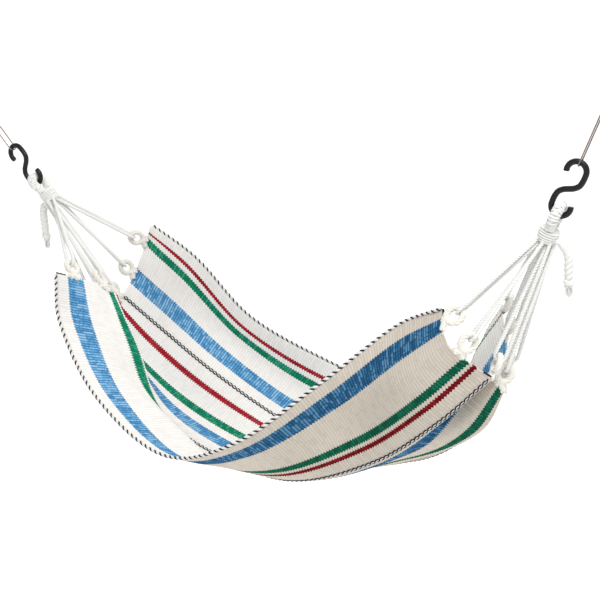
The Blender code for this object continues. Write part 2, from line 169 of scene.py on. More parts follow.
GATHER_REACH = 0.07
SELVEDGE_SIDE = 0.03            # share of the width, to find which way is out of the cloth
HEM_STEP = 0.03                 # share of the length and width, to find the hem's directions
HEM_MARGIN = 0.004              # share of the length that the trims stop short of the hems
SLING_OFFSET = (-0.0007, 0, 0.005)  # from the middle of the span to SLING_MIDDLE
# How the pleat spreads the stripes on both sides of it: share along and its reach, share
# across and its reach, and how far the yarns are drawn towards the far edge.
PLEAT_DRAWS = (
    (0.80, 0.15, 0.635, 0.026, -0.0085),
    (0.77, 0.14, 0.490, 0.070, 0.0130),
)

# The sling's shape: ribs across the cloth, from its far edge to its near edge, at shares
# of its length, in millimetres from SLING_MIDDLE.
RIBS = (
    (0.00, ((-229, 98, -117), (-249, 89, -169), (-260, 62, -205), (-257, 18, -212),
            (-220, 6, -194), (-214, -42, -157), (-227, -94, -131))),
    (0.10, ((-171, 107, -159), (-195, 95, -206), (-210, 69, -246), (-223, 23, -268),
            (-192, -15, -241), (-191, -56, -209), (-231, -93, -191))),
    (0.25, ((-102, 120, -237), (-122, 106, -274), (-125, 60, -295), (-145, 18, -323),
            (-143, -33, -313), (-146, -76, -281), (-165, -122, -265))),
    (0.42, ((3, 129, -289), (-21, 108, -331), (-26, 56, -345), (-38, 6, -359),
            (-44, -46, -355), (-55, -96, -337), (-64, -141, -314))),
    (0.58, ((103, 138, -323), (84, 92, -343), (74, 40, -370), (65, -15, -369),
            (55, -66, -357), (43, -106, -319), (33, -144, -285))),
    (0.75, ((198, 118, -331), (190, 70, -337), (180, 19, -346), (170, -25, -328),
            (160, -71, -315), (133, -75, -271), (114, -91, -225))),
    (0.90, ((217, 111, -236), (223, 59, -248), (255, 18, -288), (246, -31, -274),
            (237, -71, -257), (206, -87, -212), (187, -56, -166))),
    (1.00, ((245, 108, -185), (262, 59, -188), (280, 14, -229), (284, -31, -223),
            (286, -56, -209), (252, -82, -170), (242, -68, -139))),
)

# Folds too narrow for the ribs: share of the length and its reach, share of the width and its
# reach, and the push in millimetres.
FOLDS = (
    (0.16, 0.22, 0.695, 0.055, (-17, 8, -5)),
    (0.15, 0.19, 0.737, 0.065, (16, 3, 1)),
    (0.34, 0.16, 0.800, 0.080, (12, 6, 3)),
    (0.36, 0.16, 0.690, 0.075, (-14, 4, -4)),
    (1.00, 0.22, 0.585, 0.075, (-24, 18, 5)),
    (0.95, 0.24, 0.455, 0.090, (8, -6, -8)),
)

MIDDLE = Vector((LEFT_WIRE_RUN + SPAN / 2, 0, -HOOK_DROP))
SLING_MIDDLE = MIDDLE + Vector(SLING_OFFSET)
ACROSS = Vector((0, 1, 0))
DOWN = Vector((0, 0, -1))

# Colours, linear -------------------------------------------------------------------------
WHITE = (0.86, 0.86, 0.84)
BLACK = (0.010, 0.010, 0.020)
# The cloth's two faces, each as its yarns' usual, darkest and palest colour: the upper face, where
# more of the undyed weft shows, painted lighter as if lit, and the under face, painted darker and
# warmer with painted shade.
UPPER_LIT = {
    "red": ((0.42, 0.020, 0.032), (0.22, 0.008, 0.014), (0.50, 0.06, 0.07)),
    "green": ((0.008, 0.270, 0.140), (0.004, 0.120, 0.065), (0.10, 0.44, 0.29)),
    "blue": ((0.150, 0.420, 0.680), (0.014, 0.105, 0.300), (0.48, 0.72, 0.88)),
    "cream": ((0.90, 0.88, 0.85), (0.78, 0.75, 0.70), (0.91, 0.895, 0.87)),
}
UNDER_SHADED = {
    "red": ((0.20, 0.006, 0.010), (0.08, 0.002, 0.004), (0.32, 0.02, 0.03)),
    "green": ((0.006, 0.125, 0.065), (0.002, 0.050, 0.028), (0.012, 0.21, 0.12)),
    "blue": ((0.036, 0.155, 0.305), (0.004, 0.030, 0.090), (0.19, 0.40, 0.60)),
    "cream": ((0.65, 0.595, 0.515), (0.51, 0.46, 0.39), (0.67, 0.615, 0.535)),
}

# Stripes across the cloth, as (middle, width, colour), in metres from the far edge
STRIPES = (
    (0.19 * REPEAT, 0.0050, "red"),
    (0.32 * REPEAT, 0.0092, "green"),
    (0.735 * REPEAT, 0.0220, "blue"),
    (1.20 * REPEAT, 0.0062, "red"),
    (1.475 * REPEAT, 0.0116, "green"),
    (1.75 * REPEAT, 0.0200, "blue"),
    (2.185 * REPEAT, 0.0050, "red"),
    (2.280 * REPEAT, 0.0068, "green"),
    (2.77 * REPEAT, 0.0200, "blue"),
)
CHAINS = (1.0 * REPEAT, 2.0 * REPEAT)
CHAIN_LINK = 0.0064             # length of one link of a chain of black thread
CHAIN_HALF = 0.0016             # half width of a chain
CHAIN_THREAD = 0.00078          # radius of its black threads
CHAIN_STITCH = 0.00085          # and of the white yarn between them
CHAIN_RISE = 0.0004             # how far a black thread climbs over the other
EDGE_TWIST = 0.0074             # along an edge cord, one turn of its two yarns
EDGE_OUT = 0.0012               # from the cloth's edge to the middle of its cord
EDGE_WHITE = (0.00055, 0.00145)  # from the cord's middle to a yarn's, and the yarn's radius
EDGE_BLACK = (0.00105, 0.00095)
HEM_THREAD = 0.00105            # radius of the black thread on a hem
HEM_THREAD_OUT = 0.0004         # how far out of the hem it lies
HEM_THREADS = (                 # stretches of black thread on a hem, in metres from the far edge
    (1.0 * REPEAT, 1.0 * REPEAT + 0.013),
    (2.0 * REPEAT, 2.0 * REPEAT + 0.011),
    (WIDTH - 0.012, WIDTH),
)


# Node materials --------------------------------------------------------------------------
class Shader:
    """A Principled BSDF material and short ways to add nodes to it."""

    def __init__(self, name, roughness, metallic=0.0, sheen=0.0, gloss=0.5):
        self.material = bpy.data.materials.new(name)
        self.material.use_nodes = True
        self.tree = self.material.node_tree
        self.bsdf = self.tree.nodes["Principled BSDF"]
        self.bsdf.inputs["Roughness"].default_value = roughness
        self.bsdf.inputs["Metallic"].default_value = metallic
        self.bsdf.inputs["Specular IOR Level"].default_value = gloss
        if sheen:
            self.bsdf.inputs["Sheen Weight"].default_value = sheen
            self.bsdf.inputs["Sheen Roughness"].default_value = 0.5

    def link(self, value, socket):
        """Feeds a socket from another node's output, or sets it to a plain value."""
        if isinstance(value, bpy.types.NodeSocket):
            self.tree.links.new(value, socket)
        else:
            socket.default_value = value

    def math(self, operation, *values):
        node = self.tree.nodes.new("ShaderNodeMath")
        node.operation = operation
        for value, socket in zip(values, node.inputs):
            self.link(value, socket)
        return node.outputs[0]

    def mix(self, share, a, b):
        node = self.tree.nodes.new("ShaderNodeMix")
        node.data_type = "RGBA"
        self.link(share, node.inputs["Factor"])
        for value, socket in ((a, node.inputs[6]), (b, node.inputs[7])):
            self.link((*value, 1) if isinstance(value, tuple) else value, socket)
        return node.outputs[2]

    def noise(self, scale, detail=2.0):
        node = self.tree.nodes.new("ShaderNodeTexNoise")
        node.inputs["Scale"].default_value = scale
        node.inputs["Detail"].default_value = detail
        node.inputs["Roughness"].default_value = 0.5
        coordinates = self.tree.nodes.new("ShaderNodeTexCoord").outputs["Object"]
        self.link(coordinates, node.inputs["Vector"])
        return node.outputs["Fac"]

    def random(self, column, row):
        """A random number for each cell of a grid."""
        cell = self.tree.nodes.new("ShaderNodeCombineXYZ")
        self.link(column, cell.inputs[0])
        self.link(row, cell.inputs[1])
        node = self.tree.nodes.new("ShaderNodeTexWhiteNoise")
        node.noise_dimensions = "2D"
        self.link(cell.outputs[0], node.inputs["Vector"])
        return node.outputs["Value"]

    def steps(self, value, stops):
        """A stepped colour ramp: each stop is (place, colour)."""
        node = self.tree.nodes.new("ShaderNodeValToRGB")
        ramp = node.color_ramp
        ramp.interpolation = "CONSTANT"
        while len(ramp.elements) < len(stops):
            ramp.elements.new(0.5)
        for element, (place, colour) in zip(ramp.elements, stops):
            element.position = place
            element.color = (*colour, 1)
        self.link(value, node.inputs["Fac"])
        return node.outputs["Color"]

    def bump(self, height, distance, strength=1.0):
        node = self.tree.nodes.new("ShaderNodeBump")
        node.inputs["Distance"].default_value = distance
        node.inputs["Strength"].default_value = strength
        self.link(height, node.inputs["Height"])
        self.tree.links.new(node.outputs["Normal"], self.bsdf.inputs["Normal"])

    def colour(self, value):
        self.link((*value, 1) if isinstance(value, tuple) else value, self.bsdf.inputs["Base Color"])


def stripe_stops(colours):
    """Ramp stops for the stripes on their cream ground, from one colour for each dye."""
    stops = [(0.0, colours["cream"])]
    for middle, width, dye in STRIPES:
        stops.append(((middle - width / 2) / WIDTH, colours[dye]))
        stops.append(((middle + width / 2) / WIDTH, colours["cream"]))
    return stops


def make_weave(name, face):
    """Warp yarns over thick weft ribs, with stripes whose sides step from rib to rib."""
    s = Shader(name, 0.9, gloss=0.08)
    uv = s.tree.nodes.new("ShaderNodeUVMap")
    uv.uv_map = "weave"
    split = s.tree.nodes.new("ShaderNodeSeparateXYZ")
    s.link(uv.outputs["UV"], split.inputs[0])
    across, along = split.outputs[0], split.outputs[1]

    yarns = s.math("DIVIDE", across, WARP)
    picks = s.math("DIVIDE", along, PICK)
    column = s.math("FLOOR", yarns)
    odd = s.math("MULTIPLY", s.math("MODULO", column, 2.0), 0.5)
    row = s.math("FLOOR", s.math("ADD", picks, odd))
    wave = s.math("SINE", s.math("MULTIPLY", picks, math.tau))
    place = s.math("DIVIDE", s.math("ADD", across, s.math("MULTIPLY", wave, TOOTH)), WIDTH)

    fleck = s.random(column, row)
    streak = s.random(s.math("FLOOR", s.math("DIVIDE", yarns, STREAK)), s.math("FLOOR", picks))

    # shade is the darkest yarn tone: it colours the dark flecks and also the painted shade in the
    # grooves and slits.
    base, shade, light = (
        s.steps(place, stripe_stops({dye: colours[tone] for dye, colours in face.items()}))
        for tone in range(3)
    )
    value = s.math(
        "ADD",
        s.math("MULTIPLY", fleck, 1 - STREAK_SHARE),
        s.math("MULTIPLY", streak, STREAK_SHARE),
    )
    darker = s.math("MULTIPLY", s.math("LESS_THAN", value, DARK_BELOW), DARK_SHARE)
    lighter = s.math("MULTIPLY", s.math("GREATER_THAN", value, PALE_ABOVE), PALE_SHARE)
    colour = s.mix(lighter, s.mix(darker, base, shade), light)

    yarn = s.math("ABSOLUTE", s.math("SINE", s.math("MULTIPLY", yarns, math.pi)))
    rib = s.math("ABSOLUTE", s.math("SINE", s.math("MULTIPLY", picks, math.pi)))
    # Painted shade: the colour is drawn towards the darkest tone in the grooves between ribs and in
    # the slits between warp yarns.
    groove = s.math("POWER", s.math("SUBTRACT", 1.0, rib), 1.1)
    slit = s.math("MULTIPLY", s.math("POWER", s.math("SUBTRACT", 1.0, yarn), 2.0), 0.35)
    cloudy = s.math("MULTIPLY", s.math("SUBTRACT", s.noise(14.0), 0.5), 0.10)
    groove_and_slit_shade = s.math("MAXIMUM", s.math("MULTIPLY", groove, 0.95), slit)
    s.colour(s.mix(s.math("ADD", groove_and_slit_shade, cloudy), colour, shade))
    relief = s.math("SUBTRACT", 1.0, s.math("MAXIMUM", groove, slit))
    fibre = s.math("MULTIPLY", s.noise(2600.0, 1.0), 0.25)
    s.bump(s.math("ADD", relief, fibre), 0.0004)
    return s.material


def make_fibre(name, colour, dark, roughness=0.88, scale=1500.0):
    """Spun cotton: fine fibres and slight soiling."""
    s = Shader(name, roughness, sheen=0.1, gloss=0.12)
    cloudy = s.math("MULTIPLY", s.noise(60.0, 3.0), 0.30)
    fine = s.noise(scale, 2.0)
    s.colour(s.mix(s.math("ADD", cloudy, s.math("MULTIPLY", fine, 0.18)), colour, dark))
    s.bump(fine, 0.0003, 0.8)
    return s.material


def make_metal(name, colour, roughness, metallic, grain, worn):
    """Metal with a fine grain, worn to a second colour in places."""
    s = Shader(name, roughness, metallic, gloss=0.30)
    cloudy = s.noise(grain, 4.0)
    s.colour(s.mix(s.math("MULTIPLY", cloudy, 0.5), colour, worn))
    uneven = s.math("MULTIPLY", cloudy, 0.16)
    s.link(s.math("ADD", roughness - 0.08, uneven), s.bsdf.inputs["Roughness"])
    s.bump(s.noise(grain * 8, 2.0), 0.00005, 0.5)
    return s.material


# Lines and meshes ------------------------------------------------------------------------
def blend_at(knots, values, places):
    """Smooth lines through the values at the knots, cubic with slopes from the neighbours."""
    knots = np.asarray(knots, float)
    values = np.asarray(values, float)
    places = np.atleast_1d(np.asarray(places, float))
    last = len(knots) - 1
    low = np.maximum(np.arange(last + 1) - 1, 0)
    high = np.minimum(np.arange(last + 1) + 1, last)
    tail = (1,) * (values.ndim - 1)
    slopes = (values[high] - values[low]) / (knots[high] - knots[low]).reshape(-1, *tail)
    span = np.clip(np.searchsorted(knots, places, side="right") - 1, 0, last - 1)
    width = (knots[span + 1] - knots[span]).reshape(-1, *tail)
    s = (places - knots[span]).reshape(-1, *tail) / width
    return (
        values[span] * (2 * s**3 - 3 * s**2 + 1)
        + slopes[span] * width * (s**3 - 2 * s**2 + s)
        + values[span + 1] * (3 * s**2 - 2 * s**3)
        + slopes[span + 1] * width * (s**3 - s**2)
    )


def lengths_along(points):
    """The length of a line up to each of its points."""
    return np.concatenate([[0], np.cumsum(np.linalg.norm(np.diff(points, axis=0), axis=1))])


def points_at(places, run, line):
    """Points of a line at some distances along it; run has the line's own points' distances."""
    return np.stack([np.interp(places, run, line[:, k]) for k in range(3)], axis=1)


def smooth_route(points, step):
    """The points of a smooth curve through a few route points, a step apart."""
    points = np.array([tuple(p) for p in points])
    knots = lengths_along(points)
    dense = blend_at(knots, points, np.linspace(0, knots[-1], 12 * len(points)))
    run = lengths_along(dense)
    count = max(3, round(run[-1] / step) + 1)
    even = np.linspace(0, run[-1], count)
    return points_at(even, run, dense)


def side_vectors(points, closed=False):
    """Two unit vectors square to the line at each point, which don't twist along it."""
    if closed:
        ahead = np.roll(points, -1, axis=0) - np.roll(points, 1, axis=0)
    else:
        ahead = np.gradient(points, axis=0)
    ahead /= np.linalg.norm(ahead, axis=1, keepdims=True)
    first = np.cross(ahead[0], (0, 0, 1) if abs(ahead[0][2]) < 0.9 else (1, 0, 0))
    side = first / np.linalg.norm(first)
    sides = [side]
    for direction in ahead[1:]:
        side = side - direction * side.dot(direction)
        side = side / np.linalg.norm(side)
        sides.append(side)
    sides = np.array(sides)
    return sides, np.cross(ahead, sides)


def helix(points, radius, pitch, start=0.0):
    """A line wound round another, with a radius that may change along it."""
    sides, others = side_vectors(points)
    turn = start + math.tau * lengths_along(points) / pitch
    radius = np.broadcast_to(radius, len(points))[:, None]
    return points + radius * (sides * np.cos(turn)[:, None] + others * np.sin(turn)[:, None])


class Pile:
    """Tubes of several materials that make one piece."""

    def __init__(self):
        self.vertices = []
        self.faces = []
        self.slots = []
        self.count = 0

    def tube(self, points, radius, slot, sides, closed=False):
        """A tube along a line, of one radius or of one for each point."""
        points = np.asarray(points, float)
        one, two = side_vectors(points, closed)
        radius = np.broadcast_to(radius, len(points))[:, None, None]
        turn = np.arange(sides) * math.tau / sides
        turn = turn[None, :, None]
        ring = one[:, None] * np.cos(turn) + two[:, None] * np.sin(turn)
        self.vertices.append((points[:, None] + radius * ring).reshape(-1, 3))
        rows = len(points)
        for i in range(rows if closed else rows - 1):
            a = self.count + i * sides
            b = self.count + (i + 1) % rows * sides
            for j in range(sides):
                k = (j + 1) % sides
                self.faces.append((a + j, a + k, b + k, b + j))
                self.slots.append(slot)
        if not closed:
            end = self.count + (rows - 1) * sides
            self.faces.append(tuple(self.count + j for j in reversed(range(sides))))
            self.faces.append(tuple(end + j for j in range(sides)))
            self.slots += [slot, slot]
        self.count += rows * sides

    def rope(self, points, radius, pitch, strands, sides):
        """Strands laid round each other and slightly pressed together, to an outer radius."""
        strand = radius / (1 + 1 / math.sin(math.pi / strands)) * 1.12
        for i in range(strands):
            line = helix(points, radius - strand, pitch, math.tau * i / strands)
            self.tube(line, strand, 0, sides)

    def piece(self, name, materials, body, replaced=()):
        """Makes one smooth object of all the tubes and places it."""
        mesh = bpy.data.meshes.new(name)
        mesh.from_pydata(np.concatenate(self.vertices).tolist(), [], self.faces)
        for material in materials:
            mesh.materials.append(material)
        mesh.polygons.foreach_set("material_index", self.slots)
        mesh.polygons.foreach_set("use_smooth", [True] * len(self.faces))
        mesh.update()
        return place(bpy.data.objects.new(name, mesh), body, replaced)


def place(obj, body, replaced=()):
    """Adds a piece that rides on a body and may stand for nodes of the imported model."""
    bpy.context.scene.collection.objects.link(obj)
    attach(obj, body)
    if replaced:
        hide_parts(*replaced)
    return obj


# The sling -------------------------------------------------------------------------------
RIB_PLACES = [share for share, _ in RIBS]
RIB_POINTS = np.array([points for _, points in RIBS], float) / 1000 + np.array(SLING_MIDDLE)
WEFT_PLACES = np.linspace(0, 1, len(RIBS[0][1]))


def cloth_grid(along, across):
    """Points of the middle of the cloth, for shares of its length and of its width."""
    ribs = np.stack([blend_at(WEFT_PLACES, points, across) for points in RIB_POINTS])
    points = blend_at(RIB_PLACES, ribs, along)
    for at, reach, at_across, reach_across, push in FOLDS:
        near = np.clip(1 - ((np.asarray(along) - at) / reach) ** 2, 0, 1) ** 2
        beside = np.clip(1 - ((np.asarray(across) - at_across) / reach_across) ** 2, 0, 1) ** 2
        points = points + np.outer(near, beside)[..., None] * np.array(push) / 1000
    return points


def cloth_point(along, across):
    """One point of the middle of the cloth."""
    return Vector(cloth_grid([along], [across])[0, 0])


def grid_normals(points):
    """Unit vectors square to a grid of the cloth's points, out of its under face."""
    normal = np.cross(np.gradient(points, axis=0), np.gradient(points, axis=1))
    return normal / np.linalg.norm(normal, axis=2, keepdims=True)


def weave_places(along, across):
    """Where the weave's own yarns lie, in metres across and along, once they are drawn aside."""
    gather = GATHER_SHIFT * np.exp(-along * LENGTH / GATHER_REACH) * np.clip(1 - across / 0.5, 0, 1)
    gather = gather * np.clip(across / 0.04, 0, 1)
    places = across * WIDTH + gather
    for at, reach, at_across, reach_across, shift in PLEAT_DRAWS:
        near = np.exp(-(((along - at) / reach) ** 2) - ((across - at_across) / reach_across) ** 2)
        places = places + shift * near
    return places, along * LENGTH


def cloth_lift(along, across):
    """How far each face stands from the middle of the cloth, with its ribs and crossing yarns."""
    phase = along[:, None] * LENGTH / PICK
    yarn = across[None] * WIDTH / (2 * WARP)
    ridges = np.cos(math.tau * phase)
    crossings = np.cos(math.pi * phase) * np.cos(math.tau * yarn)
    return THICK / 2 + RIB_LIFT * (0.75 * ridges + 0.25 * crossings)


def cloth_faces(columns):
    """Faces of the closed sheet: first those of its under face, then its upper face and edges."""
    row = ROWS + 1
    sheet = row * (columns + 1)
    faces = []
    for i in range(columns):
        for j in range(ROWS):
            a = i * row + j
            faces.append((a, a + row, a + row + 1, a + 1))
    for i in range(columns):
        for j in range(ROWS):
            b = sheet + i * row + j
            faces.append((b, b + 1, b + row + 1, b + row))
    for i in range(columns):
        a = i * row
        b = a + ROWS
        faces.append((a + row, a, a + sheet, a + row + sheet))
        faces.append((b, b + row, b + row + sheet, b + sheet))
    for j in range(ROWS):
        b = columns * row + j
        faces.append((j, j + 1, j + 1 + sheet, j + sheet))
        faces.append((b + 1, b, b + sheet, b + 1 + sheet))
    return faces


def make_cloth(upper, under):
    """The cloth, with a pucker at each hem and the weave's places as its UV map."""
    columns = round(LENGTH / PICK) * COLUMNS_PER_PICK
    along = np.linspace(0, 1, columns + 1)
    across = np.linspace(0, 1, ROWS + 1)
    middle = cloth_grid(along, across)
    from_hem = np.minimum(along, 1 - along)[:, None] * LENGTH
    pucker = -PUCKER * np.cos(math.tau * CORDS * across)[None] * np.exp(-from_hem / PUCKER_REACH)
    middle = middle + grid_normals(middle) * pucker[..., None]
    lift = grid_normals(middle) * cloth_lift(along, across)[..., None]
    vertices = np.concatenate([side.reshape(-1, 3) for side in (middle + lift, middle - lift)])
    faces = cloth_faces(columns)
    mesh = bpy.data.meshes.new("sling_cloth")
    mesh.from_pydata(vertices.tolist(), [], faces)

    flat = np.stack(np.broadcast_arrays(*weave_places(along[:, None], across[None])), axis=2)
    flat = flat.reshape(-1, 2)
    corners = np.empty(len(mesh.loops), np.int32)
    mesh.loops.foreach_get("vertex_index", corners)
    layer = mesh.uv_layers.new(name="weave")
    layer.uv.foreach_set("vector", flat[corners % len(flat)].ravel())

    # The under face gets the colours with painted shade, the upper face the colours painted lighter
    # as if lit.
    mesh.materials.append(upper)
    mesh.materials.append(under)
    is_under = np.arange(len(faces)) < columns * ROWS
    mesh.polygons.foreach_set("material_index", is_under.astype(np.int32))
    mesh.polygons.foreach_set("use_smooth", [True] * len(faces))
    mesh.update()
    return place(bpy.data.objects.new("sling_cloth", mesh), "hammock", ["sling"])


def edge_line(across, outward):
    """A line along an edge of the cloth, moved outwards by some metres."""
    count = round(LENGTH * (1 - 2 * HEM_MARGIN) / 0.0009)
    along = np.linspace(HEM_MARGIN, 1 - HEM_MARGIN, count)
    line = cloth_grid(along, [across])[:, 0]
    inner = cloth_grid(along, [abs(across - SELVEDGE_SIDE)])[:, 0]
    away = line - inner
    away /= np.linalg.norm(away, axis=1, keepdims=True)
    return line + away * outward


def make_edge_cord(name, across, materials):
    """A thick white yarn with a thin black one wound round it."""
    pile = Pile()
    line = edge_line(across, EDGE_OUT)
    white_turn, white_radius = EDGE_WHITE
    black_turn, black_radius = EDGE_BLACK
    pile.tube(helix(line, white_turn, EDGE_TWIST), white_radius, 0, 9)
    pile.tube(helix(line, black_turn, EDGE_TWIST, math.pi), black_radius, 1, 7)
    return pile.piece(f"{name}_twisted", materials, "hammock", [name])


def make_chain(index, across, materials):
    """On each face of the cloth, two black threads that cross over a row of white stitches."""
    count = round(LENGTH / 0.0007)
    along = np.linspace(HEM_MARGIN, 1 - HEM_MARGIN, count)
    strip = cloth_grid(along, np.array((-0.006, 0.0, 0.006)) + across / WIDTH)
    normal = grid_normals(strip)[:, 1]
    side = strip[:, 2] - strip[:, 0]
    side /= np.linalg.norm(side, axis=1, keepdims=True)
    turn = (math.pi * lengths_along(strip[:, 1]) / CHAIN_LINK)[:, None]
    pile = Pile()
    for face in (1, -1):
        lift = normal * face * (THICK / 2 + RIB_LIFT)
        pile.tube(strip[:, 1] + lift * 0.9, CHAIN_STITCH, 0, 6)
        for hand in (1, -1):
            over = normal * face * CHAIN_RISE * hand * np.cos(turn)
            aside = side * CHAIN_HALF * hand * np.sin(turn)
            pile.tube(strip[:, 1] + lift + over + aside, CHAIN_THREAD, 1, 6)
    return pile.piece(f"woven_chain_{index}", materials, "hammock")


# One end ---------------------------------------------------------------------------------
class End:
    """The pull line of one end: from the ceiling eye down through the hook to the neck."""

    def __init__(self, name, side, run, neck_along, neck_down, hem):
        self.name = name
        self.hem = hem
        self.eye = Vector((MIDDLE.x + side * (SPAN / 2 + run), 0, -EYE_DROP))
        self.top = Vector((MIDDLE.x + side * SPAN / 2, 0, -HOOK_DROP))
        self.pull = Vector((-side * neck_along, 0, -neck_down)).normalized()
        self.right = self.pull.cross(ACROSS).normalized()
        self.under = self.right * side
        self.neck = self.top + self.pull * NECK_END

    def at(self, along, right=0.0, across=0.0):
        """The point at a distance along the pull line, moved to the right and across."""
        return self.top + self.pull * along + self.right * right + ACROSS * across


ENDS = (
    End("left", -1, LEFT_WIRE_RUN, 0.059, 0.0687, 0.0),
    End("right", 1, RIGHT_WIRE_RUN, 0.0343, 0.0796, 1.0),
)


def make_wire(end, material):
    """The doubled wire: up one side from the hook, over the ceiling eye, and down again."""
    up = (end.eye - end.top).normalized()
    over = EYE_BAR + WIRE + WIRE_SLACK
    under = HOOK_BAR + WIRE
    steps = 12
    points = []
    for middle, rise in ((end.eye, over), (end.top + up * under, -under)):
        for i in range(steps + 1):
            angle = math.pi * i / steps
            side = math.cos(angle) * math.copysign(WIRE_HALF_WIDTH, rise)
            points.append(middle + up * rise * math.sin(angle) + ACROSS * side)
    pile = Pile()
    pile.tube([tuple(p) for p in points], WIRE, 0, 12, closed=True)
    return pile.piece(f"{end.name}_hanging_wire", [material], "hammock", [f"{end.name}_wire"])


def hook_line():
    """The S-hook's middle line, as (side, along) pairs from its middle: two bends, mirrored."""
    centre = Vector((0, -(HOOK_HALF - HOOK_BEND)))
    half = []
    steps = 14
    for i in range(steps + 1):
        angle = math.radians(HOOK_TURN * (1 - i / steps))
        half.append(centre + Vector((math.cos(angle), -math.sin(angle))) * HOOK_BEND)
    half += [Vector(point) for point in HOOK_WAIST]
    return half + [Vector((0, 0))] + [-p for p in reversed(half)]


def make_hook(end, material):
    """A round bar bent into an S, with its cut ends slightly rounded."""
    middle = HOOK_HALF - HOOK_BAR - WIRE - GAP
    line = smooth_route([end.at(middle + p.y, p.x) for p in hook_line()], 0.0011)
    radius = np.full(len(line), HOOK_BAR)
    ahead = (line[1] - line[0]) / np.linalg.norm(line[1] - line[0])
    behind = (line[-2] - line[-1]) / np.linalg.norm(line[-2] - line[-1])
    line = np.concatenate([
        [line[0], line[0] + ahead * HOOK_ROUND_OFF],
        line[1:-1],
        [line[-1] + behind * HOOK_ROUND_OFF, line[-1]],
    ])
    cut = HOOK_BAR - HOOK_ROUND_OFF
    radius = np.concatenate([[cut], radius, [cut]])
    pile = Pile()
    pile.tube(line, radius, 0, 24)
    node = f"{end.name}_s_hook"
    return pile.piece(f"{end.name}_bent_hook", [material], f"{end.name}_hook", [node])


def eye_line(end):
    """Up one leg of the rope eye, over the inside of the hook's lower bend, and down the other."""
    bar = 2 * HOOK_HALF - HOOK_BAR - WIRE - GAP
    crown = HOOK_BAR + ROPE + GAP
    steps = 12
    arch = []
    for i in range(steps + 1):
        angle = math.pi * i / steps
        arch.append(end.at(bar - crown * math.sin(angle), 0, EYE_HALF_WIDTH * math.cos(angle)))
    foot = NECK_TOP - GAP
    near = [
        end.at(bar + EYE_STRAIGHT, 0, -EYE_HALF_WIDTH),
        end.at(foot - EYE_STRAIGHT, 0, -ROPE - 2 * GAP),
        end.at(foot, 0, -ROPE - GAP),
    ]
    far = [Vector((p.x, -p.y, p.z)) for p in reversed(near)]
    return smooth_route(far + arch + near, 0.0010)


def make_rope_eye(end, cord):
    """Laid rope over the hook, whipped on its near leg and at the foot of its far leg."""
    pile = Pile()
    line = eye_line(end)
    run = lengths_along(line)
    near_start = run[-1] * WHIPPED_FROM
    bounds = (WHIPPED_FOOT, WHIPPED_FOOT + 0.002, near_start - 0.002, near_start)
    fill = np.interp(run, bounds, (WHIPPED_FILL, ROPE_FILL, ROPE_FILL, WHIPPED_FILL))
    pile.rope(line, ROPE * fill, ROPE_LAY, 3, 12)
    for first, last in ((0.0, WHIPPED_FOOT), (near_start, run[-1])):
        turns = (last - first) / WINDING_STEP
        count = round(turns * 18)
        places = np.linspace(first, last, count)
        core = points_at(places, run, line)
        pile.tube(helix(core, ROPE - WINDING, WINDING_STEP), WINDING, 0, 7)
    return pile.piece(f"{end.name}_whipped_eye", [cord], "hammock", [f"{end.name}_rope_eye"])


def make_neck(end, cord):
    """A core of gathered cord under a tight winding."""
    pile = Pile()
    length = NECK_END - NECK_TOP
    core = smooth_route([end.at(NECK_TOP + length * t) for t in (0, 0.5, 1)], 0.0008)
    pile.tube(core, NECK_RADIUS - 2.1 * WINDING, 0, 20)
    count = round(length / WINDING_STEP * 30)
    share = np.linspace(0.04, 0.94, count)
    line = np.array([tuple(end.at(NECK_TOP + length * t)) for t in share])
    swell = NECK_RADIUS - WINDING - 0.0009 * (2 * share - 1) ** 2 - 0.0012 * share
    pile.tube(helix(line, swell, WINDING_STEP), WINDING, 0, 7)
    node = f"{end.name}_neck_binding"
    return pile.piece(f"{end.name}_neck_whipping", [cord], "hammock", [node])


def tail_line(end):
    """The rope tail's middle: out of the neck's underside, then straight down."""
    start = end.at(TAIL_FROM) + end.under * (NECK_RADIUS + TAIL_GAP)
    lean = math.acos(end.under.dot(DOWN))
    sideways = Vector((end.under.x, 0, 0)).normalized()
    points = [start]
    bend_steps = 8
    for i in range(1, bend_steps + 1):
        turn = lean * (1 - i / bend_steps)
        step = (sideways * math.sin(turn) + DOWN * math.cos(turn)) * TAIL_BEND * lean / bend_steps
        points.append(points[-1] + step)
    rest = TAIL_LENGTH - TAIL_BEND * lean
    points += [points[-1] + DOWN * rest * i / 3 for i in (1, 2, 3)]
    return smooth_route(points, 0.0010)


def add_fray(pile, end, line):
    """Loose hairs that spread from the end of the tail."""
    share = np.linspace(0, 1, len(line))
    rng = np.random.default_rng(7 if end.name == "left" else 11)
    for i in range(FRAY_HAIRS):
        turn = math.tau * i / FRAY_HAIRS * 3.1
        reach = rng.uniform(0.0006, 0.0034)
        sway = np.array((math.sin(turn), math.cos(turn), 0)) * reach
        stop = rng.uniform(0.80, 1.0)
        hair = line + sway * (0.6 + 0.5 * np.sin(math.pi * share * 0.9))[:, None]
        hair = hair[: max(4, round(len(hair) * stop))]
        pile.tube(hair, np.linspace(0.00052, 0.00028, len(hair)), 0, 5)


def make_knot(end, middle, cord):
    """A small knot round the tail: two turns of yarn that lean against each other."""
    pile = Pile()
    turn = np.linspace(0, math.tau, 28, endpoint=False)
    for i, (lift, lean) in enumerate(((0.0012, 0.5), (-0.0012, -0.45))):
        ring = np.stack([np.cos(turn), np.sin(turn), 0.3 * lean * np.sin(turn + i)], axis=1)
        pile.tube(middle + ring * KNOT_RING + np.array((0, 0, lift)), KNOT_YARN, 0, 9, closed=True)
    return pile.piece(f"{end.name}_overhand_knot", [cord], "hammock", [f"{end.name}_tail_knot"])


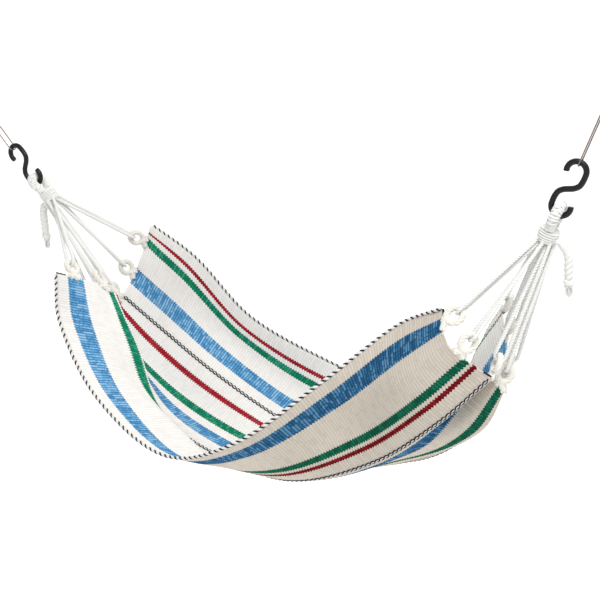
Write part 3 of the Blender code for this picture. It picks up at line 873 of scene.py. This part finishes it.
def make_tail(end, cord):
    """Laid rope that hangs down, with a small knot near its end and a frayed tip."""
    line = tail_line(end)
    run = lengths_along(line)
    pile = Pile()
    root = [line[0] - np.array(end.under) * NECK_RADIUS * t for t in (0.5, 0.2, -0.1, -0.3)]
    pile.tube(root, TAIL * 0.72, 0, 12)
    whole = run < KNOT_AT + 0.006
    waist = 1 - 0.25 * np.exp(-(((run - KNOT_AT) / 0.004) ** 2))
    taper = np.clip(0.55 + run / 0.010, 0, 1) * waist
    pile.rope(line[whole], TAIL * taper[whole], TAIL_LAY, 3, 9)
    add_fray(pile, end, line[run >= KNOT_AT + 0.003])
    tail = pile.piece(f"{end.name}_laid_tail", [cord], "hammock", [f"{end.name}_tail"])
    knot = make_knot(end, points_at([KNOT_AT], run, line)[0], cord)


class Loop:
    """Where one end loop sits: its middle, the way to the neck, and across its opening."""

    def __init__(self, end, index):
        across = (index + 0.5) / CORDS
        self.hem = cloth_point(end.hem, across)
        inside = cloth_point(abs(end.hem - HEM_STEP), across)
        before = cloth_point(end.hem, across - HEM_STEP)
        after = cloth_point(end.hem, across + HEM_STEP)
        self.warp = (self.hem - inside).normalized()
        foot = self.hem + self.warp * LOOP_LEAD
        self.reach = (end.neck - foot).normalized()
        self.flat = (after - before).normalized()
        self.wide = (self.flat - self.reach * self.flat.dot(self.reach)).normalized()
        self.through = self.reach.cross(self.wide)
        self.middle = foot + self.reach * LOOP_FOOT


def make_end_loop(end, index, yarn):
    """The warp yarns of one stretch of hem, drawn together and turned back into a loop."""
    loop = Loop(end, index)
    steps = 16
    route = []
    for i in range(steps + 1):
        angle = math.radians(LOOP_TURN) * (0.5 - i / steps)
        route.append(loop.middle + loop.reach * LOOP_LONG * math.cos(angle)
                     + loop.wide * LOOP_WIDE * math.sin(angle))
    foot_side = LOOP_WIDE * 0.8
    start = loop.hem - loop.flat * foot_side - loop.warp * 0.001
    stop = loop.hem + loop.flat * foot_side - loop.warp * 0.001
    pile = Pile()
    line = smooth_route([stop, *route, start], 0.0011)
    pile.rope(line, LOOP_BAR, LOOP_LAY, 5, 8)
    pile.tube(line, LOOP_BAR * 0.55, 0, 8)
    rng = np.random.default_rng(100 + index)
    gather = loop.middle - loop.reach * LOOP_LONG * 0.9
    at_hem, on_way, at_loop = LOOP_SPREADS
    for share in np.linspace(-1, 1, LOOP_YARNS).tolist():
        out = loop.hem + loop.flat * (share * at_hem) - loop.warp * 0.0012
        mid = loop.hem.lerp(gather, 0.45) + loop.flat * (share * on_way)
        top = gather + loop.flat * (share * at_loop) + loop.through * rng.uniform(-0.001, 0.001)
        pile.tube(smooth_route([out, mid, top], 0.0016), 0.0010, 0, 6)
    node = f"{end.name}_end_loop_{index + 1}"
    return pile.piece(f"{node}_yarn", [yarn], "hammock", [node])


def make_cord(end, index, cord):
    """A doubled laid cord: from the neck, round the top of its end loop, and back."""
    loop = Loop(end, index)
    fan = NECK_FAN * (1 - 2 * index / (CORDS - 1))
    arm = ACROSS * math.sin(fan) + end.under * math.cos(fan)
    foot = end.neck + end.pull * NECK_CLEAR
    outward = loop.through if loop.through.dot(arm) > 0 else -loop.through
    bend = LOOP_BAR + CORD + GAP
    crown = loop.middle + loop.reach * LOOP_LONG
    inner, outer = NECK_RINGS
    root = foot - end.pull * CORD_ROOT
    turn = []
    steps = 8
    for i in range(steps + 1):
        angle = math.pi * i / steps
        turn.append(crown + outward * bend * math.cos(angle) - loop.reach * bend * math.sin(angle))
    lead = [root + arm * outer * 0.9, foot + arm * outer]
    back = [foot + arm * inner, root + arm * inner * 0.9]
    first = [lead[1].lerp(turn[0], t) for t in (0.33, 0.66)]
    second = [turn[-1].lerp(back[0], t) for t in (0.33, 0.66)]
    line = smooth_route([*lead, *first, *turn, *second, *back], 0.0013)
    pile = Pile()
    swell = np.interp(np.linspace(0, 1, len(line)), *zip(*CORD_SWELL))
    pile.rope(line, CORD * swell, CORD_LAY, 3, 6)
    node = f"{end.name}_cord_{index + 1}"
    return pile.piece(f"{node}_laid", [cord], "hammock", [node])


def make_hem_thread(end, index, stretch, black):
    """Black thread that shows along a short stretch of hem."""
    across = np.linspace(stretch[0], stretch[1], 14) / WIDTH
    line = cloth_grid([end.hem], across)[0]
    inside = cloth_grid([abs(end.hem - 0.01)], across)[0]
    away = (line - inside) / np.linalg.norm(line - inside, axis=1, keepdims=True)
    pile = Pile()
    pile.tube(line + away * HEM_THREAD_OUT, HEM_THREAD, 0, 8)
    return pile.piece(f"{end.name}_hem_thread_{index + 1}", [black], "hammock")


# Studio ----------------------------------------------------------------------------------
def make_camera():
    """The camera looks down its own -Z, at its target from a distance."""
    camera = bpy.data.objects.new("camera", bpy.data.cameras.new("camera"))
    camera.data.lens = CAMERA_LENS
    camera.data.sensor_width = 36
    camera.data.shift_x, camera.data.shift_y = CAMERA_SHIFT
    turn = Euler((math.radians(90 - CAMERA_ELEVATION), 0, math.radians(CAMERA_AZIMUTH))).to_matrix()
    turn = turn @ Matrix.Rotation(math.radians(CAMERA_ROLL), 3, "Z")
    stand = CAMERA_TARGET + turn.col[2] * CAMERA_DISTANCE
    camera.matrix_world = Matrix.Translation(stand) @ turn.to_4x4()
    bpy.context.scene.collection.objects.link(camera)
    bpy.context.scene.camera = camera


def make_floor():
    """A plain white floor that curves up into a wall behind the hammock."""
    low = cad_box[0][2] - FLOOR_DROP
    depth, bend, half, tall = 4.0, 1.5, 8.0, 9.0
    steps = 8
    profile = [(-half, low), (depth - bend, low)]
    for i in range(1, steps + 1):
        angle = math.pi / 2 * i / steps
        profile.append((depth - bend + bend * math.sin(angle), low + bend - bend * math.cos(angle)))
    profile.append((depth, low + tall))
    vertices = [(x, y, z) for y, z in profile for x in (-half, half)]
    faces = [(2 * i, 2 * i + 1, 2 * i + 3, 2 * i + 2) for i in range(len(profile) - 1)]
    mesh = bpy.data.meshes.new("studio_floor")
    mesh.from_pydata(vertices, [], faces)
    mesh.polygons.foreach_set("use_smooth", [True] * len(faces))
    s = Shader("studio_white", 1.0)
    s.colour((0.9, 0.9, 0.9))
    s.bsdf.inputs["Emission Color"].default_value = (1, 1, 1, 1)
    s.bsdf.inputs["Emission Strength"].default_value = FLOOR_GLOW
    mesh.materials.append(s.material)
    floor = bpy.data.objects.new("studio_floor", mesh)
    bpy.context.scene.collection.objects.link(floor)


def make_lamp():
    """A soft lamp above the right end, on the near side."""
    data = bpy.data.lights.new("key", "AREA")
    data.shape = "DISK"
    data.size = LAMP_SIZE
    data.energy = LAMP_POWER
    lamp = bpy.data.objects.new("key", data)
    lamp.location = LAMP_PLACE
    aim = Vector(LAMP_AIM) - Vector(LAMP_PLACE)
    lamp.rotation_euler = aim.to_track_quat("-Z", "Y").to_euler()
    bpy.context.scene.collection.objects.link(lamp)


def make_sky():
    """Even white light from all round."""
    world = bpy.data.worlds.new("studio")
    world.use_nodes = True
    background = world.node_tree.nodes["Background"]
    background.inputs["Color"].default_value = (1, 1, 1, 1)
    background.inputs["Strength"].default_value = SKY_STRENGTH
    bpy.context.scene.world = world
    bpy.context.scene.view_settings.view_transform = "Standard"


# The whole object --------------------------------------------------------------------------
def main():
    make_camera()
    make_floor()
    make_sky()
    make_lamp()

    # The upper face's colours carry painted light, the under face's carry painted shade.
    upper = make_weave("striped_weave_upper_lit", UPPER_LIT)
    under = make_weave("striped_weave_under", UNDER_SHADED)
    cord = make_fibre("white_cotton_cord", WHITE, (0.62, 0.61, 0.58))
    yarn = make_fibre("natural_warp_yarn", (0.86, 0.84, 0.79), (0.62, 0.58, 0.50), scale=1100.0)
    white = make_fibre("white_thread", (0.82, 0.81, 0.78), (0.60, 0.58, 0.54))
    black = make_fibre("black_thread", BLACK, (0.03, 0.03, 0.05), 0.9)
    coated = make_metal(
        "satin_black_steel", (0.006, 0.006, 0.007), 0.36, 0.0, 90.0, (0.012, 0.012, 0.012)
    )
    wire = make_metal("dull_wire", (0.30, 0.24, 0.20), 0.38, 1.0, 200.0, (0.16, 0.12, 0.10))
    zinc = make_metal("zinc_plate", (0.62, 0.62, 0.64), 0.36, 1.0, 120.0, (0.48, 0.48, 0.50))

    cloth = make_cloth(upper, under)
    trims = [
        make_edge_cord("selvedge_far", 0.0, [white, black]),
        make_edge_cord("selvedge_near", 1.0, [white, black]),
    ]
    for index, across in enumerate(CHAINS):
        trims.append(make_chain(index + 1, across, [white, black]))
    for end in ENDS:
        for index, stretch in enumerate(HEM_THREADS):
            trims.append(make_hem_thread(end, index, stretch, black))

    for end in ENDS:
        make_wire(end, wire)
        make_hook(end, coated)
        make_rope_eye(end, cord)
        make_neck(end, cord)
        make_tail(end, cord)
        for index in range(CORDS):
            make_end_loop(end, index, yarn)
            make_cord(end, index, cord)
        for label in ("ceiling_plate", "screw_near", "screw_far"):
            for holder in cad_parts[f"{end.name}_{label}"].material_slots:
                holder.material = zinc


main()
